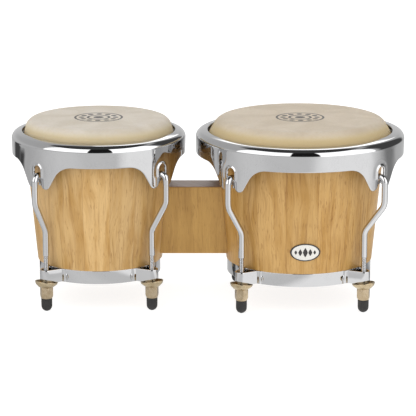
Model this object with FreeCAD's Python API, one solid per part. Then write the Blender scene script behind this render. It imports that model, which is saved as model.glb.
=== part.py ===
import FreeCAD, Part
import math
import os
from FreeCAD import Vector

# Bongo drums: a small drum (macho) and a large drum (hembra) joined by a wooden block.
# Millimetres, +Z up. The origin is on the floor, midway along the overall width, and the
# players' side is -Y. Each drum stands on four rubber tips under its tuning nuts.

# ---- the two drums ---------------------------------------------------------------------
# Angles in degrees: collar_lean is how far a head's collar leans out from the upright,
# lug_turn is how far the rim's ears are turned past the diagonals, and rod_swing is how
# far each rod is swung about the bar it hooks over, which leaves its foot turned back.
OVERALL_WIDTH = 471.9
MACHO_RIM_RADIUS = 104.5
HEMBRA_RIM_RADIUS = 125.4
DRUMS = {
    "macho": {
        "x": -OVERALL_WIDTH / 2 + MACHO_RIM_RADIUS,
        "rim_radius": MACHO_RIM_RADIUS,
        "lip_radius": 91.9,
        "hoop_radius": 73.4,
        "foot_radius": 75.0,
        "edge_centre": 75.5,
        "edge_round": 12.5,
        "collar_lean": 15.0,
        "lug_turn": 3.3,
        "rod_swing": 10.0,
        "towards_block": 1,
    },
    "hembra": {
        "x": OVERALL_WIDTH / 2 - HEMBRA_RIM_RADIUS,
        "rim_radius": HEMBRA_RIM_RADIUS,
        "lip_radius": 110.9,
        "hoop_radius": 87.2,
        "foot_radius": 88.2,
        "edge_centre": 91.0,
        "edge_round": 14.0,
        "collar_lean": 30.0,
        "lug_turn": 2.7,
        "rod_swing": 5.7,
        "towards_block": -1,
    },
}

# ---- heights above the floor -------------------------------------------------------------
HEAD_TOP = 222.8
RIM_TOP = 209.0
RIM_SHOULDER = 201.7
BAND_BOTTOM = 180.8
LOBE_BOTTOM = 152.0
HOOP_TOP = 50.8
HOOP_BOTTOM = 34.7
THREAD_TOP = 67.7
NUT_TOP = 29.5
TIP_TOP = 15.5

# ---- shells and heads ----------------------------------------------------------------------
TAPER = 0.095
WALL = 12.0
STAVES = 16
SHELL_BOTTOM = HOOP_BOTTOM + 1.0
SKIN = 1.2
FLESH_HOOP_WIRE = 3.2
GAP = 0.1

# ---- crown rim -------------------------------------------------------------------------------
SHEET = 2.3
SKIRT_TAPER = math.tan(math.radians(1.5))
SHOULDER_ROUND = 6.0
LIP_ROUND = 1.3
NOTCH_TOP = 159.8
LOBE_ROUND = 7.2
LOBE_CENTRE = 11.4
FLANK_ANGLE = 58.0
FLANK_FILLET = 26.0
SLOT_WIDTH = 10.6
SLOT_BOTTOM = 163.5
SLOT_TOP = 179.9
EYELET = 2.2
EYELET_RISE = 1.1
EYELET_START = 1.6

# ---- lugs: tuning rods, loops, washers, nuts and tips ----------------------------------------
LUGS = 4
ROD_STANDOFF = 4.8
LOOP_REACH = 15.5
ROD_RADIUS = 3.7
THREAD_RADIUS = 3.17
ROD_END = 17.0
LOWER_BEND = 98.5
UPPER_BEND = 134.0
BEND_RADIUS = 16.0
HOOK_RADIUS = 7.2
HOOK_LEG = 5.0
HOOK_CLEARANCE = 0.7
RUNNING_GAP = 0.05
LOOP_STRAP = 2.3
LOOP_NOSE = 7.8
LOOP_ROOT = 10.6
LOOP_BOTTOM = HOOP_BOTTOM + 0.5
WASHER_RADIUS = 13.6
WASHER_FOOT = 8.8
WASHER_LIP = 2.8
WASHER_LIP_FROM = -6.0
WASHER_HOLE = 3.6
NUT_FLATS = 14.3
NUT_BASE_RADIUS = 6.6
NUT_TAPER = 4.0
SPIGOT_RADIUS = 4.9
SPIGOT_LENGTH = 4.5
TIP_RADIUS = 6.7
TIP_FLAT = 2.4
TIP_DOME = 7.0
TIP_POCKET = 3.7

# ---- centre block and its fastenings -----------------------------------------------------------
BLOCK_TOP = 141.4
BLOCK_BOTTOM = 58.7
BLOCK_DEPTH = 39.0
BLOCK_ROUND = 2.0
BOLT_HEIGHTS = (80.0, 121.0)
BOLT_RADIUS = 3.95
BOLT_HEAD_FLATS = 13.0
BOLT_HEAD = 5.3
BOLT_IN_BLOCK = 17.0
INSERT_RADIUS = 6.0
INSERT_LENGTH = 20.0
BACKING_DEPTH = 28.0
BACKING_TOP = 136.0
BACKING_BOTTOM = 65.0
BACKING_LEAST = 4.0

# ---- badge on the large drum ---------------------------------------------------------------------
BADGE_WIDTH = 36.0
BADGE_HEIGHT = 21.5
BADGE_CENTRE = 78.0
BADGE_THICK = 1.2
BADGE_GLUE = 0.15
BADGE_TURN = 2.5

Z = Vector(0, 0, 1)


def point(radius, height):
    """A point in a drum's radial half-plane, drawn in the XZ plane."""
    return Vector(radius, 0, height)


def line(a, b):
    return Part.LineSegment(a, b).toShape()


def arc(a, middle, b):
    return Part.Arc(a, middle, b).toShape()


def on_circle(centre, radius, angle):
    """The point of a circle in the XZ plane at an angle from +X towards +Z, in degrees."""
    turn = math.radians(angle)
    return Vector(centre.x + radius * math.cos(turn), centre.y, centre.z + radius * math.sin(turn))


def arc_about(centre, radius, start, end):
    """An arc in the XZ plane from one angle to another, in degrees."""
    middle = on_circle(centre, radius, (start + end) / 2)
    return arc(on_circle(centre, radius, start), middle, on_circle(centre, radius, end))


def turned(edges):
    """The solid that a closed outline in the XZ plane makes when it turns about the Z axis."""
    return Part.Face(Part.Wire(edges)).revolve(Vector(0, 0, 0), Z, 360)


def polygon(points):
    return [line(a, b) for a, b in zip(points, points[1:] + points[:1])]


def lug_angles(drum):
    """The ears' directions, in degrees from the front (-Y) towards +X."""
    return [drum["lug_turn"] + 45 + 90 * lug for lug in range(LUGS)]


def rod_radii(drum):
    """How far a tuning rod stands from the drum's axis: at its nut, and at its hook."""
    return drum["hoop_radius"] + LOOP_REACH, drum["rim_radius"] + ROD_STANDOFF


def rod_arm(drum):
    """How far a rod's foot stands from the rim it hooks over, seen from above."""
    low = rod_radii(drum)[0]
    bar = drum["rim_radius"]
    swing = math.radians(drum["rod_swing"])
    return bar * math.cos(swing) - math.sqrt(low**2 - (bar * math.sin(swing)) ** 2)


def foot_angles(drum):
    """The rods' feet's directions, a little behind the ears' because the rods are swung."""
    swing = math.radians(drum["rod_swing"])
    behind = math.degrees(math.asin(rod_arm(drum) * math.sin(swing) / rod_radii(drum)[0]))
    return [angle - behind for angle in lug_angles(drum)]


def facing(shape, azimuth):
    """Turns a shape made in the +X half-plane to an azimuth measured from the front."""
    turned_shape = shape.copy()
    turned_shape.rotate(Vector(0, 0, 0), Z, azimuth - 90)
    return turned_shape


def placed(shapes, drum):
    """One shape, or several as one compound, moved to its drum's axis."""
    shape = shapes if not isinstance(shapes, list) else Part.makeCompound(shapes)
    moved = shape.copy()
    moved.translate(Vector(drum["x"], 0, 0))
    return moved


def outer_radius(drum, height):
    """The turned outside of a shell."""
    return drum["foot_radius"] + TAPER * (height - HOOP_TOP)


def cone(drum, offset, low=SHELL_BOTTOM, high=200.0):
    """A solid cone that follows a shell's outside at an offset."""
    bottom = outer_radius(drum, low) + offset
    top = outer_radius(drum, high) + offset
    return Part.makeCone(bottom, top, high - low, Vector(0, 0, low), Z)


# ---- shells ------------------------------------------------------------------------------------
def shell(drum):
    """A conical shell of glued staves, with a step at its foot for the bottom hoop."""
    step_radius = drum["hoop_radius"] - LOOP_STRAP - GAP
    step_top = HOOP_TOP + GAP
    neck = HEAD_TOP - 30.0
    edge_centre = point(drum["edge_centre"], HEAD_TOP - drum["edge_round"])
    edge_round = drum["edge_round"] - SKIN - GAP
    crest = edge_centre.z + edge_round
    foot_inside = outer_radius(drum, SHELL_BOTTOM) - WALL
    neck_inside = outer_radius(drum, neck) - WALL
    corners = [
        point(drum["edge_centre"], crest),
        point(drum["edge_centre"] - 0.6, crest - 1.5),
        point(neck_inside, neck),
        point(foot_inside, SHELL_BOTTOM),
        point(step_radius, SHELL_BOTTOM),
        point(step_radius, step_top),
        point(outer_radius(drum, step_top), step_top),
        point(outer_radius(drum, neck), neck),
        point(edge_centre.x + edge_round, edge_centre.z),
    ]
    outline = [line(a, b) for a, b in zip(corners, corners[1:])]
    outline.append(arc_about(edge_centre, edge_round, 0, 90))
    face = Part.Face(Part.Wire(outline))
    stave_angle = 360 / STAVES
    face.rotate(Vector(0, 0, 0), Z, -stave_angle / 2)
    stave = face.revolve(Vector(0, 0, 0), Z, stave_angle)
    staves = []
    for number in range(STAVES):
        one = stave.copy()
        one.rotate(Vector(0, 0, 0), Z, number * stave_angle)
        staves.append(one)
    towards = 0 if drum["towards_block"] > 0 else STAVES // 2
    for height in BOLT_HEIGHTS:
        hole = Part.makeCylinder(
            BOLT_RADIUS + 0.3, 60, Vector(drum["towards_block"] * 50, 0, height),
            Vector(drum["towards_block"], 0, 0),
        )
        staves[towards] = staves[towards].cut(hole)
    return placed(staves, drum)


# ---- heads ---------------------------------------------------------------------------------------
def collar_line(drum):
    """(foot of the rounded edge, direction down the collar, outward normal) of a head's collar."""
    lean = math.radians(drum["collar_lean"])
    centre = point(drum["edge_centre"], HEAD_TOP - drum["edge_round"])
    start = on_circle(centre, drum["edge_round"], drum["collar_lean"])
    return start, Vector(math.sin(lean), 0, -math.cos(lean)), Vector(math.cos(lean), 0, math.sin(lean))


def flesh_hoop_centre(drum):
    """Where the flesh hoop's wire lies: under the rim's flange and against the collar's outside."""
    start, _, normal = collar_line(drum)
    height = RIM_TOP - SHEET - 1.4 - SKIN - FLESH_HOOP_WIRE
    reach = FLESH_HOOP_WIRE + RUNNING_GAP
    radius = start.x + (reach - (height - start.z) * normal.z) / normal.x
    return point(radius, height)


def head(drum):
    """A skin: flat playing face, rounded edge, leaning collar, and the tuck round the flesh hoop."""
    start, down, normal = collar_line(drum)
    hoop = flesh_hoop_centre(drum)
    edge_centre = point(drum["edge_centre"], HEAD_TOP - drum["edge_round"])
    inner_round = drum["edge_round"] - SKIN
    lean = drum["collar_lean"]
    reach = (hoop - start).dot(down)
    foot = start + down * reach
    inside = normal * -SKIN
    outline = [
        line(point(0, HEAD_TOP), point(edge_centre.x, HEAD_TOP)),
        arc_about(edge_centre, drum["edge_round"], 90, lean),
        line(start, foot),
        line(foot, foot + inside),
        line(foot + inside, start + inside),
        arc_about(edge_centre, inner_round, lean, 90),
        line(point(edge_centre.x, HEAD_TOP - SKIN), point(0, HEAD_TOP - SKIN)),
        line(point(0, HEAD_TOP - SKIN), point(0, HEAD_TOP)),
    ]
    tuck_inner = FLESH_HOOP_WIRE + RUNNING_GAP
    tuck_outer = tuck_inner + SKIN
    tuck_end = 100.0
    tuck_start = -180 + lean
    tuck = [
        arc_about(hoop, tuck_outer, tuck_start, tuck_end),
        line(on_circle(hoop, tuck_outer, tuck_end), on_circle(hoop, tuck_inner, tuck_end)),
        arc_about(hoop, tuck_inner, tuck_end, tuck_start),
        line(on_circle(hoop, tuck_inner, tuck_start), on_circle(hoop, tuck_outer, tuck_start)),
    ]
    return placed(turned(outline).fuse(turned(tuck)).removeSplitter(), drum)


def flesh_hoop(drum):
    centre = flesh_hoop_centre(drum)
    return placed(Part.makeTorus(centre.x, FLESH_HOOP_WIRE, Vector(0, 0, centre.z), Z), drum)


# ---- crown rim ---------------------------------------------------------------------------------------
def skirt_radius(drum, height):
    """The rim's outside below its shoulder."""
    return drum["rim_radius"] - (RIM_SHOULDER - height) * SKIRT_TAPER


def rim_blank(drum):
    """The pressed rim before its ears are trimmed: lip, flange, rounded shoulder and skirt."""
    radius = drum["rim_radius"]
    shoulder = point(radius - SHOULDER_ROUND, RIM_SHOULDER)
    lip = point(drum["lip_radius"] + LIP_ROUND, RIM_TOP - LIP_ROUND)
    bottom = LOBE_BOTTOM - 2.0
    outside = skirt_radius(drum, bottom)
    flange_under = RIM_TOP - 2 * LIP_ROUND
    inner_round = SHOULDER_ROUND - SHEET
    corner = point(shoulder.x, RIM_SHOULDER + SHOULDER_ROUND)
    inner_corner = point(shoulder.x, RIM_SHOULDER + inner_round)
    outline = [
        arc_about(lip, LIP_ROUND, 90, 270),
        line(point(lip.x, flange_under), inner_corner),
        arc_about(shoulder, inner_round, 90, 0),
        line(point(radius - SHEET, RIM_SHOULDER), point(outside - SHEET, bottom)),
        line(point(outside - SHEET, bottom), point(outside, bottom)),
        line(point(outside, bottom), point(radius, RIM_SHOULDER)),
        arc_about(shoulder, SHOULDER_ROUND, 0, 90),
        line(corner, point(lip.x, RIM_TOP)),
    ]
    return turned(outline)


def across(tangent, height):
    """A point in the plane square to +X, where ears and slots are drawn."""
    return Vector(0, tangent, height)


def ear_outline():
    """An ear's outline: two round lobes with a notch between, and concave flanks up to the band."""
    lobe = across(LOBE_CENTRE, LOBE_BOTTOM + LOBE_ROUND)
    # the notch is a circle that touches both lobes from outside, with its top at NOTCH_TOP
    rise = NOTCH_TOP + LOBE_ROUND - lobe.z
    notch_centre = (NOTCH_TOP + LOBE_ROUND + lobe.z) / 2 - LOBE_CENTRE**2 / (2 * rise)
    notch_round = NOTCH_TOP - notch_centre
    reach = notch_round / (notch_round + LOBE_ROUND)
    touch = across(LOBE_CENTRE * reach, notch_centre + (lobe.z - notch_centre) * reach)
    slope = math.radians(FLANK_ANGLE)
    flank_foot = lobe + across(math.sin(slope), -math.cos(slope)) * LOBE_ROUND
    fillet_rise = FLANK_FILLET * (1 - math.cos(slope))
    flank_length = (BAND_BOTTOM - fillet_rise - flank_foot.z) / math.sin(slope)
    flank_top = flank_foot + across(math.cos(slope), math.sin(slope)) * flank_length
    fillet = across(flank_top.y + FLANK_FILLET * math.sin(slope), BAND_BOTTOM - FLANK_FILLET)
    half = slope / 2
    fillet_middle = fillet + across(-math.sin(half), math.cos(half)) * FLANK_FILLET
    band = across(fillet.y, BAND_BOTTOM)
    lobe_low = lobe + across(0, -LOBE_ROUND)
    notch_top = across(0, NOTCH_TOP)

    def mirrored(p):
        return Vector(0, -p.y, p.z)

    above = BAND_BOTTOM + 5.0
    corner = across(band.y, above)
    return [
        arc(touch, notch_top, mirrored(touch)),
        arc(mirrored(touch), mirrored(lobe_low), mirrored(flank_foot)),
        line(mirrored(flank_foot), mirrored(flank_top)),
        arc(mirrored(flank_top), mirrored(fillet_middle), mirrored(band)),
        line(mirrored(band), mirrored(corner)),
        line(mirrored(corner), corner),
        line(corner, band),
        arc(band, fillet_middle, flank_top),
        line(flank_top, flank_foot),
        arc(flank_foot, lobe_low, touch),
    ]


def slot_outline(grow):
    """A slot with round ends, made larger by a margin."""
    half = SLOT_WIDTH / 2
    top = SLOT_TOP - half
    bottom = SLOT_BOTTOM + half
    reach = half + grow
    return [
        arc(across(reach, top), across(0, top + reach), across(-reach, top)),
        line(across(-reach, top), across(-reach, bottom)),
        arc(across(-reach, bottom), across(0, bottom - reach), across(reach, bottom)),
        line(across(reach, bottom), across(reach, top)),
    ]


def radial_prism(edges, start=50.0, length=100.0):
    """An outline drawn square to +X, pushed out along +X."""
    face = Part.Face(Part.Wire(edges))
    face.translate(Vector(start, 0, 0))
    return face.extrude(Vector(length, 0, 0))


def rim(drum):
    """The crown rim: one pressed sheet with four ears, each with a slot and its raised eyelet."""
    ears = [facing(radial_prism(ear_outline()), angle) for angle in lug_angles(drum)]
    band = Part.makeCylinder(200, 60, Vector(0, 0, BAND_BOTTOM), Z)
    trimmed = rim_blank(drum).common(band.multiFuse(ears))
    low, high = SLOT_BOTTOM - 6.0, SLOT_TOP + 6.0
    sheath = turned(polygon([
        point(skirt_radius(drum, low) - SHEET / 2, low),
        point(skirt_radius(drum, low) + EYELET_RISE, low),
        point(skirt_radius(drum, high) + EYELET_RISE, high),
        point(skirt_radius(drum, high) - SHEET / 2, high),
    ]))
    eyelet_block = sheath.common(radial_prism(slot_outline(EYELET)))
    above_bar = Part.makeBox(200, 60, 60, Vector(0, -30, SLOT_BOTTOM + EYELET_START))
    eyelet = eyelet_block.common(above_bar)
    slot = radial_prism(slot_outline(0))
    for angle in lug_angles(drum):
        trimmed = trimmed.fuse(facing(eyelet, angle))
    for angle in lug_angles(drum):
        trimmed = trimmed.cut(facing(slot, angle))
    return placed(trimmed.removeSplitter(), drum)


# ---- lugs ------------------------------------------------------------------------------------------
def rounded_path(corners, radius):
    """Straight runs joined by tangent arcs of one radius."""
    edges = []
    start = corners[0]
    for before, corner, after in zip(corners, corners[1:], corners[2:]):
        arriving = (corner - before).normalize()
        leaving = (after - corner).normalize()
        turn = arriving.getAngle(leaving)
        cut = radius * math.tan(turn / 2)
        towards_centre = (leaving - arriving).normalize()
        middle = corner + towards_centre * (radius / math.cos(turn / 2) - radius)
        edges.append(line(start, corner - arriving * cut))
        edges.append(arc(corner - arriving * cut, middle, corner + leaving * cut))
        start = corner + leaving * cut
    edges.append(line(start, corners[-1]))
    return edges


def tuning_rod(drum):
    """A J-hook rod: threaded foot, two bends outward, and a hook over the ear's bar."""
    high = rod_radii(drum)[1]
    low = drum["rim_radius"] - rod_arm(drum)
    hook_height = SLOT_BOTTOM + HOOK_CLEARANCE - HOOK_RADIUS + ROD_RADIUS
    path = rounded_path(
        [point(low, THREAD_TOP), point(low, LOWER_BEND), point(high, UPPER_BEND), point(high, hook_height)],
        BEND_RADIUS,
    )
    hook = point(high - HOOK_RADIUS, hook_height)
    path.append(arc_about(hook, HOOK_RADIUS, 0, 180))
    leg = point(high - 2 * HOOK_RADIUS, hook_height)
    path.append(line(leg, leg - Z * HOOK_LEG))
    section = Part.Wire(Part.Circle(point(low, THREAD_TOP), Z, ROD_RADIUS).toShape())
    shank = Part.Wire(path).makePipeShell([section], True, True)
    thread = Part.makeCylinder(THREAD_RADIUS, THREAD_TOP - ROD_END + 1, point(low, ROD_END), Z)
    lowest = min(thread.Edges, key=lambda edge: edge.CenterOfMass.z)
    thread = thread.makeChamfer(0.8, [lowest])
    rod = shank.fuse(thread).removeSplitter()
    rod.rotate(point(drum["rim_radius"], 0), Z, drum["rod_swing"])
    return rod


def bottom_hoop(drum):
    outer = drum["hoop_radius"]
    tall = HOOP_TOP - HOOP_BOTTOM
    ring = Part.makeCylinder(outer, tall, Vector(0, 0, HOOP_BOTTOM), Z)
    bore = Part.makeCylinder(outer - LOOP_STRAP, tall, Vector(0, 0, HOOP_BOTTOM), Z)
    return placed(ring.cut(bore), drum)


def strap_outline(root, nose, reach, start):
    """A U-shaped outline seen from above: two legs that lean in to a round nose at x = reach."""
    run = reach - start
    distance = math.hypot(run, root)
    swing = math.atan2(root, run) + math.pi / 2 - math.acos(nose / distance)
    tangent = Vector(reach + nose * math.sin(swing), nose * math.cos(swing), 0)
    root_point = Vector(start, root, 0)

    def other(p):
        return Vector(p.x, -p.y, p.z)

    tip = Vector(reach + nose, 0, 0)
    return [
        line(root_point, tangent),
        arc(tangent, tip, other(tangent)),
        line(other(tangent), other(root_point)),
        line(other(root_point), root_point),
    ]


def lug_loop(drum):
    """A strap bent round the tuning rod, its two feet welded to the bottom hoop."""
    reach = rod_radii(drum)[0]
    start = drum["hoop_radius"] - 6.0
    tall = Vector(0, 0, HOOP_TOP - LOOP_BOTTOM)
    solids = []
    for less in (0, LOOP_STRAP):
        face = Part.Face(Part.Wire(strap_outline(LOOP_ROOT - less, LOOP_NOSE - less, reach, start - less)))
        face.translate(Vector(0, 0, LOOP_BOTTOM))
        solids.append(face.extrude(tall))
    hoop = Part.makeCylinder(drum["hoop_radius"] + RUNNING_GAP, 60, Vector(0, 0, 20), Z)
    return solids[0].cut(solids[1]).cut(hoop)


def washer(drum):
    """A dished washer that spreads the nut's pull over the loop."""
    axis = rod_radii(drum)[0]
    top = LOOP_BOTTOM - GAP
    bottom = NUT_TOP + GAP
    rim_height = 1.6
    dish = 1.4
    corners = [
        point(WASHER_HOLE, bottom),
        point(WASHER_FOOT, bottom),
        point(WASHER_FOOT + 0.6, bottom + 0.8),
        point(WASHER_RADIUS - 1.2, top - rim_height - 0.6),
        point(WASHER_RADIUS, top - rim_height),
        point(WASHER_RADIUS, top),
        point(WASHER_RADIUS - 1.4, top),
        point(WASHER_FOOT + 1.0, top - dish),
        point(WASHER_HOLE, top - dish),
    ]
    made = turned(polygon(corners))
    # the lip rises only on the outer side, clear of the loop's legs
    inner = WASHER_RADIUS - 1.4
    lip = turned(polygon([
        point(inner, top - 0.5),
        point(WASHER_RADIUS, top - 0.5),
        point(WASHER_RADIUS, top + WASHER_LIP),
        point(inner, top + WASHER_LIP),
    ]))
    wedge = Part.Face(Part.Wire(polygon([
        Vector(WASHER_LIP_FROM, -30, top - 0.5),
        Vector(WASHER_RADIUS, -30, top - 0.5),
        Vector(WASHER_RADIUS, -30, top + WASHER_LIP),
        Vector(WASHER_LIP_FROM, -30, top),
    ]))).extrude(Vector(0, 60, 0))
    made = made.fuse(lip.common(wedge)).removeSplitter()
    made.translate(Vector(axis, 0, 0))
    return made


def hexagon_prism(flats, height, base):
    corner = flats / math.sqrt(3)
    corners = [
        Vector(corner * math.cos(math.radians(60 * k)), corner * math.sin(math.radians(60 * k)), base)
        for k in range(6)
    ]
    return Part.Face(Part.Wire(polygon(corners))).extrude(Vector(0, 0, height))


def tuning_nut(drum):
    """A tall hexagon nut that tapers to its base, with a spigot that holds the rubber tip."""
    axis = rod_radii(drum)[0]
    corner = NUT_FLATS / math.sqrt(3)
    chamfer = 0.7
    body = hexagon_prism(NUT_FLATS, NUT_TOP - TIP_TOP, TIP_TOP)
    envelope = turned(polygon([
        point(0, TIP_TOP),
        point(NUT_BASE_RADIUS, TIP_TOP),
        point(corner, TIP_TOP + NUT_TAPER),
        point(corner, NUT_TOP - chamfer),
        point(corner - chamfer, NUT_TOP),
        point(0, NUT_TOP),
    ]))
    spigot = Part.makeCylinder(SPIGOT_RADIUS, SPIGOT_LENGTH + 1, Vector(0, 0, TIP_TOP - SPIGOT_LENGTH), Z)
    bore = Part.makeCylinder(THREAD_RADIUS + RUNNING_GAP, 40, Vector(0, 0, 0), Z)
    made = body.common(envelope).fuse(spigot).cut(bore)
    made.translate(Vector(axis, 0, 0))
    return made


def rubber_tip(drum):
    """A bullet-shaped rubber foot pressed on the nut, hollow so that the rod's end has room."""
    axis = rod_radii(drum)[0]
    socket = SPIGOT_RADIUS + RUNNING_GAP
    socket_bottom = TIP_TOP - SPIGOT_LENGTH - 0.1
    pocket_bottom = TIP_DOME - 1.5
    dome_middle = point(TIP_FLAT + (TIP_RADIUS - TIP_FLAT) * 0.72, TIP_DOME * 0.24)
    outline = [
        line(point(0, 0), point(TIP_FLAT, 0)),
        arc(point(TIP_FLAT, 0), dome_middle, point(TIP_RADIUS, TIP_DOME)),
        line(point(TIP_RADIUS, TIP_DOME), point(TIP_RADIUS, TIP_TOP)),
        line(point(TIP_RADIUS, TIP_TOP), point(socket, TIP_TOP)),
        line(point(socket, TIP_TOP), point(socket, socket_bottom)),
        line(point(socket, socket_bottom), point(TIP_POCKET, socket_bottom)),
        line(point(TIP_POCKET, socket_bottom), point(TIP_POCKET, pocket_bottom)),
        line(point(TIP_POCKET, pocket_bottom), point(0, pocket_bottom)),
        line(point(0, pocket_bottom), point(0, 0)),
    ]
    made = turned(outline)
    made.translate(Vector(axis, 0, 0))
    return made


# ---- centre block ----------------------------------------------------------------------------------
def centre_block():
    """The wooden block between the drums, its ends hollowed to fit the shells."""
    macho, hembra = DRUMS["macho"], DRUMS["hembra"]
    block = Part.makeBox(
        hembra["x"] - macho["x"], BLOCK_DEPTH, BLOCK_TOP - BLOCK_BOTTOM,
        Vector(macho["x"], -BLOCK_DEPTH / 2, BLOCK_BOTTOM),
    )
    long_edges = [e for e in block.Edges if abs(e.tangentAt(e.FirstParameter).x) > 0.9]
    block = block.makeFillet(BLOCK_ROUND, long_edges)
    for drum in DRUMS.values():
        block = block.cut(placed(cone(drum, GAP), drum))
    for drum in DRUMS.values():
        for height in BOLT_HEIGHTS:
            block = block.cut(insert_pocket(drum, height))
    return block


def block_face(drum, height):
    """The X where the block's end stands at y = 0."""
    return drum["x"] + drum["towards_block"] * (outer_radius(drum, height) + GAP)


def insert_pocket(drum, height):
    start = Vector(block_face(drum, height) - drum["towards_block"] * 5, 0, height)
    along = Vector(drum["towards_block"], 0, 0)
    return Part.makeCylinder(INSERT_RADIUS + 0.02, INSERT_LENGTH + 6, start, along)


def threaded_inserts():
    """Four threaded inserts sunk in the block's ends."""
    made = []
    for drum in DRUMS.values():
        along = Vector(drum["towards_block"], 0, 0)
        for height in BOLT_HEIGHTS:
            start = Vector(block_face(drum, height) + drum["towards_block"] * 0.8, 0, height)
            body = Part.makeCylinder(INSERT_RADIUS, INSERT_LENGTH, start, along)
            bore = Part.makeCylinder(BOLT_RADIUS + RUNNING_GAP, INSERT_LENGTH - 1.5, start, along)
            made.append(body.cut(bore))
    return Part.makeCompound(made)


def backing_face(drum):
    """How far from the drum's axis the backing block's flat inner face stands."""
    return outer_radius(drum, BACKING_BOTTOM) - WALL - BACKING_LEAST


def backing_block(drum):
    """A block inside the shell that spreads the bolts' pull, curved outside and flat inside."""
    face = backing_face(drum)
    tall = BACKING_TOP - BACKING_BOTTOM
    start = face if drum["towards_block"] > 0 else -face - 30
    block = Part.makeBox(30, BACKING_DEPTH, tall, Vector(start, -BACKING_DEPTH / 2, BACKING_BOTTOM))
    block = block.common(cone(drum, -WALL - GAP))
    for height in BOLT_HEIGHTS:
        hole = Part.makeCylinder(
            BOLT_RADIUS + 0.3, 60, Vector(drum["towards_block"] * (face - 5), 0, height),
            Vector(drum["towards_block"], 0, 0),
        )
        block = block.cut(hole)
    return placed(block, drum)


def block_bolts(drum):
    """Two hexagon flange bolts from inside the shell into the block's inserts."""
    towards = drum["towards_block"]
    face = backing_face(drum) - GAP
    made = []
    for height in BOLT_HEIGHTS:
        head_prism = hexagon_prism(BOLT_HEAD_FLATS, BOLT_HEAD, 0)
        flange = Part.makeCylinder(BOLT_HEAD_FLATS * 0.72, 1.4, Vector(0, 0, BOLT_HEAD - 1.4), Z)
        length = outer_radius(drum, height) + BOLT_IN_BLOCK - face
        shank = Part.makeCylinder(BOLT_RADIUS, length + 1, Vector(0, 0, BOLT_HEAD - 1), Z)
        bolt = head_prism.fuse(flange).fuse(shank).removeSplitter()
        bolt.rotate(Vector(0, 0, 0), Vector(0, 1, 0), 90 * towards)
        bolt.translate(Vector(towards * (face - BOLT_HEAD), 0, height))
        made.append(bolt)
    return placed(made, drum)


# ---- badge -------------------------------------------------------------------------------------------
def badge(drum):
    """A plain oval plate bent to the shell's curve."""
    outline = Part.Ellipse(Vector(0, 0, 0), BADGE_WIDTH / 2, BADGE_HEIGHT / 2).toShape()
    face = Part.Face(Part.Wire(outline))
    face.rotate(Vector(0, 0, 0), Vector(0, 1, 0), 90)
    face.rotate(Vector(0, 0, 0), Vector(1, 0, 0), 90)
    face.translate(Vector(60, 0, BADGE_CENTRE))
    prism = face.extrude(Vector(60, 0, 0))
    plate = prism.common(cone(drum, BADGE_GLUE + BADGE_THICK)).cut(cone(drum, BADGE_GLUE))
    return placed(facing(plate, BADGE_TURN), drum)


# ---- every node --------------------------------------------------------------------------------------
def all_nodes():
    nodes = {
        "centre_block": centre_block(),
        "block_threaded_inserts": threaded_inserts(),
        "hembra_badge": badge(DRUMS["hembra"]),
    }
    for name, drum in DRUMS.items():
        nodes[name + "_shell"] = shell(drum)
        nodes[name + "_head"] = head(drum)
        nodes[name + "_flesh_hoop"] = flesh_hoop(drum)
        nodes[name + "_rim"] = rim(drum)
        nodes[name + "_bottom_hoop"] = bottom_hoop(drum)
        nodes[name + "_backing_block"] = backing_block(drum)
        nodes[name + "_block_bolts"] = block_bolts(drum)
        feet = foot_angles(drum)
        nodes[name + "_lug_loops"] = placed([facing(lug_loop(drum), a) for a in feet], drum)
        nodes[name + "_lug_washers"] = placed([facing(washer(drum), a) for a in feet], drum)
        for number, (ear, foot) in enumerate(zip(lug_angles(drum), feet), 1):
            nodes[f"{name}_tuning_rod_{number}"] = placed(facing(tuning_rod(drum), ear), drum)
            nodes[f"{name}_tuning_nut_{number}"] = placed(facing(tuning_nut(drum), foot), drum)
            nodes[f"{name}_rubber_tip_{number}"] = placed(facing(rubber_tip(drum), foot), drum)
    return nodes


def write_parts():
    os.makedirs("parts", exist_ok=True)
    for name, shape in all_nodes().items():
        shape.exportStep(f"parts/{name}.step")
        print(name, "solids", len(shape.Solids), "valid", shape.isValid(), "volume", round(shape.Volume))


write_parts()
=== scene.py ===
from math import acos, asin, atan2, copysign, cos, degrees, exp, hypot, pi, radians, sin, sqrt, tan

import bmesh
import bpy
import numpy as np
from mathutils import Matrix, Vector
from mathutils.geometry import delaunay_2d_cdt


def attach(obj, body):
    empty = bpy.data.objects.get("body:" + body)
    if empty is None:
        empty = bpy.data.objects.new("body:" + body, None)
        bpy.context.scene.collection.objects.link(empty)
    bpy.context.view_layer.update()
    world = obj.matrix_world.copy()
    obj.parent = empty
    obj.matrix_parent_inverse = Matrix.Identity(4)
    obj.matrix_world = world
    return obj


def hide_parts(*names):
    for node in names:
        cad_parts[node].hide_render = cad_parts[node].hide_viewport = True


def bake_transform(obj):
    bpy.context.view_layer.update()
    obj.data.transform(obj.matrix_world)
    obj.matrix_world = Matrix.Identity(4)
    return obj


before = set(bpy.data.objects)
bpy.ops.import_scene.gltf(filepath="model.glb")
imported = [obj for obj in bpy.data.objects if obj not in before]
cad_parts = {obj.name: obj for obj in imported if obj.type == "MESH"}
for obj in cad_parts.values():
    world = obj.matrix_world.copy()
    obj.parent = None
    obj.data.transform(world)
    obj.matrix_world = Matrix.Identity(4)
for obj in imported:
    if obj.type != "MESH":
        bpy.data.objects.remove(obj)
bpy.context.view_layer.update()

MM = 0.001
ROOT = "drum_pair"

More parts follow.
